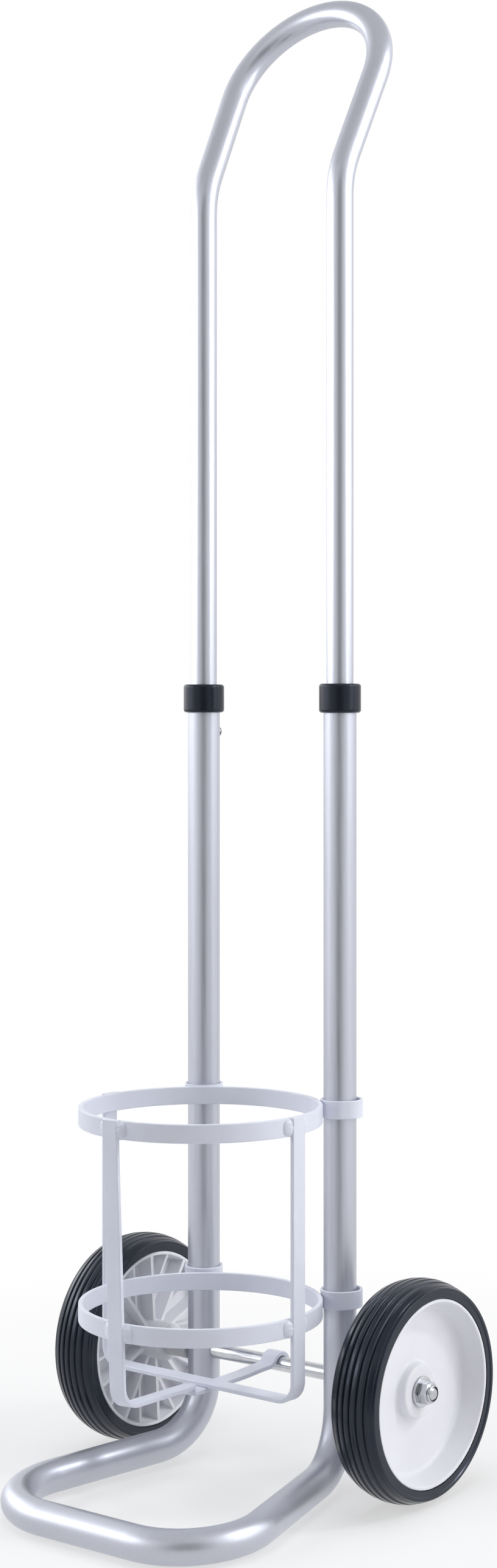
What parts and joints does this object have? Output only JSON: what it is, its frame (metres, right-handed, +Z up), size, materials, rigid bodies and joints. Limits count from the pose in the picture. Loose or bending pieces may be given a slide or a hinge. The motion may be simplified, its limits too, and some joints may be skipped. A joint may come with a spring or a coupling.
{
  "type": "telescopic hand cart",
  "caption": "Telescopic hand cart for a gas cylinder: bent tube frame, white ring cage hung on the axle, ribbed wheels with rubber tyres and a loop handle that slides and locks on snap buttons.",
  "frame": {"origin": "on the floor, at the middle of the cart's length and width", "axes": "+Z up from the floor, +X along the axle, to the right in a front view, +Y back towards the user; the foot of the frame points along -Y"},
  "size_m": [0.2726, 0.2974, 1.007],
  "materials": {
    "tube": "satin anodised",
    "collar": "satin",
    "holder": "gloss powder coat",
    "steel": "bright zinc",
    "spacer": "satin",
    "rim": "satin",
    "tyre": "matt"
  },
  "bodies": {
    "cart": {"base_frame": "tube", "collar_left": "collar", "collar_right": "collar", "upper_ring": "holder", "lower_ring": "holder", "side_strap": "holder", "front_strap": "holder", "axle_hook": "holder", "upper_clamp_left": "holder", "upper_clamp_right": "holder", "lower_clamp_left": "holder", "lower_clamp_right": "holder", "axle": "steel", "spacer_left": "spacer", "spacer_right": "spacer", "washer_left": "steel", "washer_right": "steel", "axle_nut_left": "steel", "axle_nut_right": "steel"},
    "wheel_left": {"wheel_rim_left": "rim", "tyre_left": "tyre"},
    "wheel_right": {"wheel_rim_right": "rim", "tyre_right": "tyre"},
    "handle": {"handle_tube": "tube", "guide_plug_left": "collar", "guide_plug_right": "collar", "button_spring_left": "steel", "button_spring_right": "steel"},
    "button_left": {"snap_button_left": "steel"},
    "button_right": {"snap_button_right": "steel"}
  },
  "joints": [
    {"name": "wheel_left_spin", "type": "hinge", "parent": "cart", "child": "wheel_left", "pos_m": [0, 0.04632, 0.072], "axis": [1, 0, 0], "continuous": true},
    {"name": "wheel_right_spin", "type": "hinge", "parent": "cart", "child": "wheel_right", "pos_m": [0, 0.04632, 0.072], "axis": [1, 0, 0], "continuous": true},
    {"name": "handle_slide", "type": "slide", "parent": "cart", "child": "handle", "axis": [0, 0.0311, 0.9995], "range_m": [-0.318, 0]},
    {"name": "button_left_press", "type": "slide", "parent": "handle", "child": "button_left", "axis": [-0.5736, -0.8188, 0.0254], "range_m": [0, 0.0032], "stiffness_N_per_m": 2500, "springref_m": -0.0012, "deforming": ["button_spring_left"]},
    {"name": "button_right_press", "type": "slide", "parent": "handle", "child": "button_right", "axis": [0.5736, -0.8188, 0.0254], "range_m": [0, 0.0032], "stiffness_N_per_m": 2500, "springref_m": -0.0012, "deforming": ["button_spring_right"]}
  ]
}
